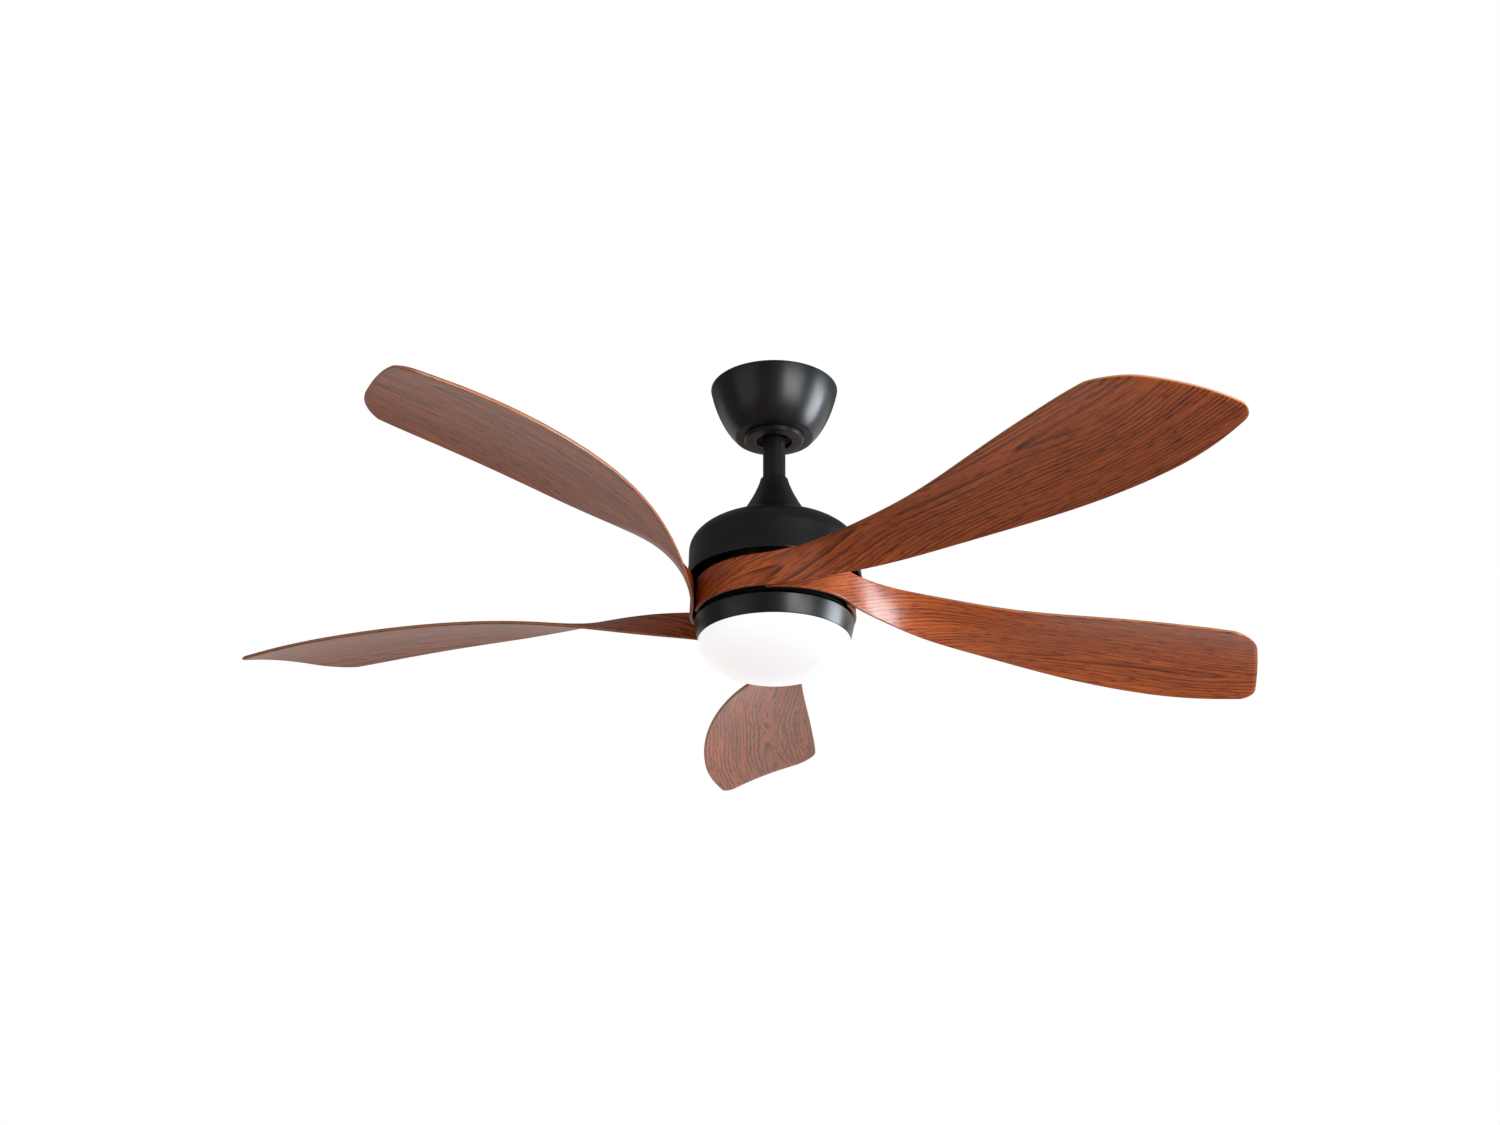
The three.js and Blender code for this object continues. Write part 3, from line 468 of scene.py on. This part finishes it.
def bezier(p0, p1, p2, p3, steps):
    """Points of a cubic curve, both ends included."""
    points = [Vector(p) for p in (p0, p1, p2, p3)]
    result = []
    for i in range(steps + 1):
        t = i / steps
        weights = ((1 - t) ** 3, 3 * t * (1 - t) ** 2, 3 * t * t * (1 - t), t ** 3)
        p = sum((w * q for w, q in zip(weights, points)), Vector((0, 0)))
        result.append((p.x, p.y))
    return result


def turned(name, outline, facets=FACETS):
    """A part turned about Z from an outline of (radius, z) in millimetres that closes on itself."""
    rows = len(outline)
    vertices = []
    for j in range(facets):
        angle = TURN * j / facets
        c, s = math.cos(angle), math.sin(angle)
        vertices += [(r * c * MM, r * s * MM, z * MM) for r, z in outline]
    faces = []
    for j in range(facets):
        k = (j + 1) % facets
        for i in range(rows):
            m = (i + 1) % rows
            on_axis = outline[i][0] < 1e-6 and outline[m][0] < 1e-6
            if not on_axis:
                faces.append((j * rows + i, k * rows + i, k * rows + m, j * rows + m))
    return make_object(name, vertices, faces)


def dress(obj, material, body, replaced):
    """Gives a piece its material and the body it rides on, and hides the CAD node it stands for."""
    obj.data.materials.append(material)
    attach(obj, body)
    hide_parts(replaced)


# ------------------------------------------------------------------ canopy, rod and cover

WALL = 1.5  # pressed metal
GAP = 0.3  # between touching pieces

CANOPY_RADIUS, CANOPY_DEPTH, CANOPY_FOOT, CANOPY_HOLE = 76.2, 63.6, 46.0, 24.0
TRIM_RADIUS, TRIM_HOLE, TRIM_DEPTH = 35.6, 21.5, 5.2
ROD_RADIUS, ROD_BORE, ROD_TOP, ROD_BOTTOM = 13.35, 11.1, -12.0, -158.0
COVER_TOP, COVER_BOTTOM, COVER_HOLE = -118.6, -178.3, 13.65
COVER_TOP_RADIUS, COVER_BASE_RADIUS = 17.0, 45.0
COVER_SHOULDER, COVER_SKIRT = 4.0, 3.4


def make_canopy(material):
    """A bowl that narrows downwards in one curve to a flat foot with a hole in it."""
    top, foot, floor = CANOPY_RADIUS, CANOPY_FOOT, -CANOPY_DEPTH
    outside = bezier((top, 0), (top - 4.4, -22), (top - 14.2, -47), (foot + 1, floor + 0.6), 28)
    inside = bezier((foot, floor + WALL), (top - 15.8, -46), (top - 6, -21.5), (top - WALL, 0), 20)
    bottom = [(foot, floor), (CANOPY_HOLE, floor), (CANOPY_HOLE, floor + WALL)]
    bowl = turned("canopy_bowl", round_corners(outside + bottom + inside, 0.7))
    dress(bowl, material, "ceiling_mount", "canopy")


def make_trim_ring(material):
    """A stepped ring under the canopy, hollow from above."""
    lip, step, chamfer, inner_wall, outer_wall = 2.2, 1.2, 0.4, 1.5, 2.4
    top = -CANOPY_DEPTH - GAP
    bottom = top - TRIM_DEPTH
    under_lip = top - lip - chamfer
    outline = [
        (TRIM_RADIUS, top),
        (TRIM_RADIUS, top - lip),
        (TRIM_RADIUS - step, under_lip),
        (TRIM_RADIUS - step, bottom + chamfer),
        (TRIM_RADIUS - step - chamfer, bottom),
        (TRIM_HOLE + chamfer, bottom),
        (TRIM_HOLE, bottom + chamfer),
        (TRIM_HOLE, top),
        (TRIM_HOLE + inner_wall, top),
        (TRIM_HOLE + inner_wall, under_lip),
        (TRIM_RADIUS - outer_wall, under_lip),
        (TRIM_RADIUS - outer_wall, top),
    ]
    ring = turned("canopy_trim", round_corners(outline, 0.5))
    dress(ring, material, "ceiling_mount", "canopy_trim_ring")


def make_downrod(material):
    outline = [(ROD_RADIUS, ROD_TOP), (ROD_BORE, ROD_TOP), (ROD_BORE, ROD_BOTTOM), (ROD_RADIUS, ROD_BOTTOM)]
    tube = turned("downrod_tube", round_corners(outline, 0.4), 96)
    dress(tube, material, "hanging_unit", "downrod")


def make_coupling_cover(material):
    """A bell round the coupling: a rounded shoulder at the rod, then a flare down to a short skirt."""
    top, neck = COVER_TOP_RADIUS, COVER_TOP - COVER_SHOULDER
    base, bottom = COVER_BASE_RADIUS, COVER_BOTTOM
    shoulder = [(COVER_HOLE, COVER_TOP), (14, COVER_TOP), (15.5, COVER_TOP - 0.4), (16.6, COVER_TOP - 1.7)]
    outside = bezier((top, neck), (20.5, -135), (31.5, -158), (base, bottom + COVER_SKIRT), 26)
    inside = bezier((base - WALL, bottom + 2.2), (30, -159), (20, -138), (top - WALL, neck), 20)
    skirt = [(base, bottom), (base - WALL, bottom)]
    outline = shoulder + outside + skirt + inside + [(COVER_HOLE, COVER_TOP - WALL)]
    cover = turned("coupling_bell", round_corners(outline, 0.8))
    dress(cover, material, "hanging_unit", "coupling_cover")


# ------------------------------------------------------------------ motor housing and light

HOUSING_RADIUS, CROWN, SHOULDER = 99.3, 41.0, -217.0
RIM_RADIUS, RIM_Z = 101.9, -252.0
SQUARENESS = 2.3
CROWN_END = 72  # degrees from the shoulder to the flat where the yoke sits
HOUSING_HOLE = 14.0
SKIRT_HEIGHT, SKIRT_SLOPE, SKIRT_TURN = 18.0, 0.3, 2.0

RING_HOLE, RING_TOP_RADIUS, RING_BOTTOM_RADIUS = 9.3, 92.2, 87.5
RING_TOP, RING_BOTTOM, RING_DECK = -302.7, -325.5, 2.0

BOWL_RADIUS, BOWL_DEPTH, BOWL_WALL, BOWL_NECK = 87.3, 41.8, 2.2, 83.5
BOWL_RIM, BOWL_NECK_TOP = -325.8, -318.5
BOWL_CENTRE = -327.3  # of the ellipse that the bowl is a quarter of


def crown(radius, height, steps):
    """Squared-off ellipse from the shoulder up to the flat where the yoke sits."""
    power = 2 / SQUARENESS
    points = []
    for i in range(steps + 1):
        angle = math.radians(CROWN_END * i / steps)
        points.append((radius * math.cos(angle) ** power, SHOULDER + height * math.sin(angle) ** power))
    return points


def make_housing(material):
    """The motor's dome: a crown on a nearly upright skirt that turns out at its rim."""
    inner, inner_rim = HOUSING_RADIUS - WALL, RIM_RADIUS - WALL
    turn, skirt = RIM_Z + SKIRT_TURN, RIM_Z + SKIRT_HEIGHT
    outside = [(RIM_RADIUS, RIM_Z), (RIM_RADIUS, turn), (HOUSING_RADIUS + SKIRT_SLOPE, skirt)]
    outside += crown(HOUSING_RADIUS, CROWN, 40)
    inside = crown(inner, CROWN - WALL, 30)[::-1]
    inside += [(inner + SKIRT_SLOPE, skirt), (inner_rim, turn), (inner_rim, RIM_Z)]
    hole = [(HOUSING_HOLE, outside[-1][1]), (HOUSING_HOLE, inside[0][1])]
    shell = turned("motor_dome", round_corners(outside + hole + inside, 0.6, steps=3), FINE_FACETS)
    dress(shell, material, "hanging_unit", "motor_housing")


def make_light_ring(material):
    """A dish under the hub: a flat deck and a wall that leans in towards the bowl."""
    outline = [
        (RING_HOLE, RING_TOP),
        (RING_TOP_RADIUS - 1, RING_TOP),
        (RING_TOP_RADIUS, RING_TOP - 1),
        (RING_BOTTOM_RADIUS, RING_BOTTOM + 0.6),
        (RING_BOTTOM_RADIUS - 0.6, RING_BOTTOM),
        (RING_BOTTOM_RADIUS - 2, RING_BOTTOM),
        (RING_TOP_RADIUS - 2.6, RING_TOP - RING_DECK),
        (RING_HOLE, RING_TOP - RING_DECK),
    ]
    ring = turned("light_rim", round_corners(outline, 0.35, steps=3), FINE_FACETS)
    dress(ring, material, "hanging_unit", "light_ring")


def make_bowl(material):
    """A shallow bowl with a neck inside the light ring, and a lip with a fine groove under it."""
    steps = 40
    groove = BOWL_RADIUS - 0.6
    lip = [
        (BOWL_NECK, BOWL_RIM),
        (BOWL_RADIUS, BOWL_RIM),
        (BOWL_RADIUS, BOWL_RIM - 1.3),
        (groove, BOWL_RIM - 1.7),
        (groove, BOWL_RIM - 2.2),
    ]
    angles = [math.radians(90 * i / steps) for i in range(steps + 1)]

    def quarter(radius, depth):
        points = [(radius * math.cos(a), BOWL_CENTRE - depth * math.sin(a)) for a in angles]
        points[-1] = (0, points[-1][1])
        return points

    outside = quarter(BOWL_RADIUS, BOWL_DEPTH)[1:]
    inside = quarter(BOWL_NECK - BOWL_WALL, BOWL_DEPTH - BOWL_WALL)[::-1]
    neck_outside, neck_inside = (BOWL_NECK, BOWL_NECK_TOP), (BOWL_NECK - BOWL_WALL, BOWL_NECK_TOP)
    bowl = turned("opal_bowl", [neck_outside] + lip + outside + inside + [neck_inside], FINE_FACETS)
    dress(bowl, material, "bowl", "diffuser")


# ------------------------------------------------------------------ blades

BLADES = 5
PITCH = 360 / BLADES
THICKNESS = 4.0
TOP_EDGE, SWEPT_EDGE = 665.0, 716.0
WRAP_START, WRAP_END = -168.0, -99.4
WRAP_RADIUS, WRAP_GROWTH = 89.9, 6.0
SWEEP_LEAD = 92.5  # how far the sweep's first handle is past the wrap
SWEEP_HANDLE, SWEEP_END = np.array([252.8, -273.7]), np.array([364.8, -479.4])
ROOT_WIDTH, TIP_WIDTH, TIP_TAPER = 38.7, 156.0, 36.0
END_HALF_WIDTH, END_BOW = 70.0, 6.4
UPPER_CORNER, LOWER_CORNER = (31.0, 33.0), (17.5, 18.5)  # across and along the blade
ROOT_TWIST, TIP_TWIST = 92.0, 11.1
ROOT_Z = -277.3
ROOT_CAMBER, CAMBER = 0.3, 6.7
EDGE_EASE = 1.3  # how far in from its edges the plank is thinned
EDGE_THINNING = 0.75  # share of that taken off each face at the very edge
CREASE_ANGLE = 40
GRAIN_TURN = 25.0  # degrees between the grain and the blade's length at the root, none further out
HEARTS = (0.045, -0.030, 0.012, 0.055, -0.050)  # where each blade's arches are, off its middle


def smooth(low, high, x):
    t = np.clip((x - low) / (high - low), 0, 1)
    return t * t * (3 - 2 * t)


def centre_line():
    """The blade's centre line in plan: lengths along it, points and unit tangents, finely sampled."""
    start, end = math.radians(WRAP_START), math.radians(WRAP_END)
    angle = np.linspace(start, end, 160)
    radius = WRAP_RADIUS + WRAP_GROWTH / math.radians(PITCH) * (angle - start)
    wrap = np.stack([radius * np.cos(angle), radius * np.sin(angle)], -1)
    heading = wrap[-1] - wrap[-2]
    heading /= np.linalg.norm(heading)
    p0, p1, p2, p3 = wrap[-1], wrap[-1] + SWEEP_LEAD * heading, SWEEP_HANDLE, SWEEP_END
    t = np.linspace(0, 1, 800)[1:, None]
    sweep = (1 - t) ** 3 * p0 + 3 * t * (1 - t) ** 2 * p1 + 3 * t * t * (1 - t) * p2 + t ** 3 * p3
    ahead = (p3 - p2) / np.linalg.norm(p3 - p2)
    straight = p3 + ahead * np.linspace(1, 80, 60)[:, None]
    points = np.concatenate([wrap, sweep, straight])
    steps = np.linalg.norm(np.diff(points, axis=0), axis=1)
    length = np.concatenate([[0], np.cumsum(steps)])
    tangents = np.gradient(points, length, axis=0)
    tangents /= np.linalg.norm(tangents, axis=1)[:, None]
    return length, points, tangents


LENGTH, LINE, TANGENT = centre_line()


def half_width(s):
    grown = 1 - (1 - smooth(146.6, 659, s)) ** 1.5
    taper = TIP_TAPER * (np.maximum(0, s - 587.5) / 150) ** 2
    return (ROOT_WIDTH + (TIP_WIDTH - ROOT_WIDTH) * grown - taper) / 2


def corner(from_edge, across, along):
    """How much shorter a rounded corner makes the blade, so far from its edge."""
    depth = np.maximum(0, 1 - from_edge / across)
    return along * (1 - np.sqrt(1 - depth * depth))


def blade_end(q):
    """Length of the blade for a place across it from -1 (lower edge) to 1 (upper edge)."""
    u = (1 - q) / 2
    bow = 4 * u * (1 - u) * END_BOW
    upper = corner((1 - q) * END_HALF_WIDTH, *UPPER_CORNER)
    lower = corner((1 + q) * END_HALF_WIDTH, *LOWER_CORNER)
    return TOP_EDGE + (SWEPT_EDGE - TOP_EDGE) * u + bow - (upper + lower)


def blade_points(s, q, lift):
    """Points of the blade in millimetres: s along, q across, lift off the mid-surface."""
    middle = np.stack([np.interp(s, LENGTH, LINE[:, i]) for i in (0, 1)], -1)
    tangent = np.stack([np.interp(s, LENGTH, TANGENT[:, i]) for i in (0, 1)], -1)
    untwist = (1 - smooth(90, 584.5, s)) ** 4
    twist = np.radians(TIP_TWIST + (ROOT_TWIST - TIP_TWIST) * untwist)
    level = np.cos(twist)
    height = ROOT_Z + 0.8 * smooth(60, 220, s) + 0.7 * smooth(220, 420, s) - 5.4 * smooth(420, 740, s)
    chord = np.stack([level * tangent[..., 1], -level * tangent[..., 0], np.sin(twist)], -1)
    forward = np.concatenate([tangent, np.zeros_like(tangent[..., :1])], -1)
    normal = np.cross(chord, forward)
    camber = (ROOT_CAMBER + (CAMBER - ROOT_CAMBER) * smooth(200, 600, s)) * (1 - q * q)
    base = np.concatenate([middle, height[..., None]], -1)
    return base + (q * half_width(s))[..., None] * chord + (camber + lift)[..., None] * normal


def grain_place(s, v):
    """Metres along and across the grain, for places s along the blade and v across it in millimetres."""
    path = np.linspace(0, 900, 901)
    turn = -np.radians(GRAIN_TURN) * (1 - smooth(60, 420, path))
    x = np.cumsum(np.cos(turn)) - np.cos(turn[0])
    y = np.cumsum(np.sin(turn)) - np.sin(turn[0])
    y -= y[-1]
    turned_by = np.interp(s, path, turn)
    along = np.interp(s, path, x) - v * np.sin(turned_by)
    across = np.interp(s, path, y) + v * np.cos(turned_by)
    return along * MM, across * MM


def plank_grid(along, across):
    """Places s along and q across the blade on a grid that is finer towards its edges and root."""
    u = np.linspace(0, 1, along + 1) ** 1.15
    q = np.sin(math.pi * np.linspace(-0.5, 0.5, across + 1))
    grid_u, grid_q = np.meshgrid(u, q, indexing="ij")
    return grid_u * blade_end(grid_q), grid_q


def half_thickness(s, q):
    """Half the plank's thickness, less over its last part before any edge."""
    from_side = (1 - np.abs(q)) * half_width(s)
    from_end = np.minimum(s, blade_end(q) - s)
    drop = np.maximum(0, 1 - np.minimum(from_side, from_end) / EDGE_EASE)
    return THICKNESS / 2 - EDGE_EASE * EDGE_THINNING * (1 - np.sqrt(1 - drop * drop))


def blade_sheets(k, s, q):
    """Vertices of blade k in metres: the upper sheet row by row, then the lower sheet."""
    turn = math.radians(PITCH * k)
    c, sine = math.cos(turn), math.sin(turn)
    spin = np.array([[c, -sine, 0], [sine, c, 0], [0, 0, 1]])
    half = half_thickness(s, q)
    sheets = [blade_points(s, q, half * sign) @ spin.T * MM for sign in (1, -1)]
    return [tuple(v) for sheet in sheets for v in sheet.reshape(-1, 3)]


def blade_mesh(name, k, face_material, edge_material):
    """One blade as a closed plank with rounded edges, and a UV map in metres.

    On the faces the map runs along and across the grain. On the cut edge it runs round the plank
    and from 0 to 1 through its thickness.
    """
    along, across = 240, 40
    s, q = plank_grid(along, across)
    vertices = blade_sheets(k, s, q)
    flat_u, flat_v = grain_place(s, q * half_width(s))
    faces, materials, uvs = [], [], []

    def at(layer, i, j):
        return (layer * (along + 1) + i) * (across + 1) + j

    for layer, order in ((0, 1), (1, -1)):
        for i in range(along):
            for j in range(across):
                ring = [(i, j), (i + 1, j), (i + 1, j + 1), (i, j + 1)][::order]
                faces.append([at(layer, *p) for p in ring])
                uvs.append([(flat_u[p], flat_v[p]) for p in ring])
                materials.append(0)

    border = [(i, 0) for i in range(along)] + [(along, j) for j in range(across)]
    border += [(i, across) for i in range(along, 0, -1)] + [(0, j) for j in range(across, 0, -1)]
    run = 0.0
    for p, r in zip(border, border[1:] + border[:1]):
        step = (Vector(vertices[at(0, *p)]) - Vector(vertices[at(0, *r)])).length
        faces.append([at(0, *r), at(0, *p), at(1, *p), at(1, *r)])
        uvs.append([(run + step, 0.0), (run, 0.0), (run, 1.0), (run + step, 1.0)])
        materials.append(1)
        run += step

    mesh = bpy.data.meshes.new(name)
    mesh.from_pydata(vertices, [], faces)
    uv_layer = mesh.uv_layers.new(name="plank")
    uv_layer.data.foreach_set("uv", [c for ring in uvs for corner_uv in ring for c in corner_uv])
    mesh.materials.append(face_material)
    mesh.materials.append(edge_material)
    mesh.polygons.foreach_set("material_index", materials)
    mesh.polygons.foreach_set("use_smooth", [True] * len(faces))
    obj = bpy.data.objects.new(name, mesh)
    bpy.context.scene.collection.objects.link(obj)
    crease(obj, CREASE_ANGLE)
    return obj


def make_blades():
    edge = ply_edge()
    for k, heart in enumerate(HEARTS):
        face = walnut(f"walnut_{k + 1}", 3.1 * k + 1, heart)
        blade = blade_mesh(f"blade_plank_{k + 1}", k, face, edge)
        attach(blade, "rotor")
        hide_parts(f"blade_{k + 1}")


# ------------------------------------------------------------------ inner parts kept from the CAD

def dress_cad_nodes():
    """Gives the CAD nodes that stay a procedural material by their record slot. Returns the black."""
    looks = {
        "black_metal": black_metal(),
        "zinc_steel": worn("zinc_plate", (0.52, 0.53, 0.54), 1.0, 0.34),
        "cast_aluminium": worn("cast_aluminium", (0.60, 0.61, 0.63), 1.0, 0.42),
        "copper_winding": worn("enamelled_copper", (0.48, 0.17, 0.06), 1.0, 0.35, 2200),
        "lamination": worn("laminated_steel", (0.13, 0.14, 0.15), 1.0, 0.45, 3000),
        "magnet": worn("ferrite", (0.035, 0.037, 0.042), 0.2, 0.6),
        "circuit_board": worn("solder_mask", (0.03, 0.15, 0.065), 0.0, 0.4),
        "white_board": worn("white_plastic", (0.80, 0.80, 0.78), 0.0, 0.45, 900, 0.06),
        "nylon": worn("natural_nylon", (0.74, 0.71, 0.63), 0.0, 0.5, 900, 0.08),
        "grey_plastic": worn("grey_plastic", (0.10, 0.105, 0.11), 0.0, 0.5),
        "cable_jacket": worn("black_jacket", (0.012, 0.012, 0.013), 0.0, 0.55),
    }
    slots = {row["node"]: row["material_slot"] for row in frame["record"]["subparts"]}
    for name, obj in NODES.items():
        if slots[name] in looks:
            obj.data.materials.clear()
            obj.data.materials.append(looks[slots[name]])
    return looks["black_metal"]


add_camera()
add_studio()
satin_black = dress_cad_nodes()
make_canopy(satin_black)
make_trim_ring(satin_black)
make_downrod(satin_black)
make_coupling_cover(satin_black)
make_housing(satin_black)
make_light_ring(satin_black)
make_bowl(opal())
make_blades()
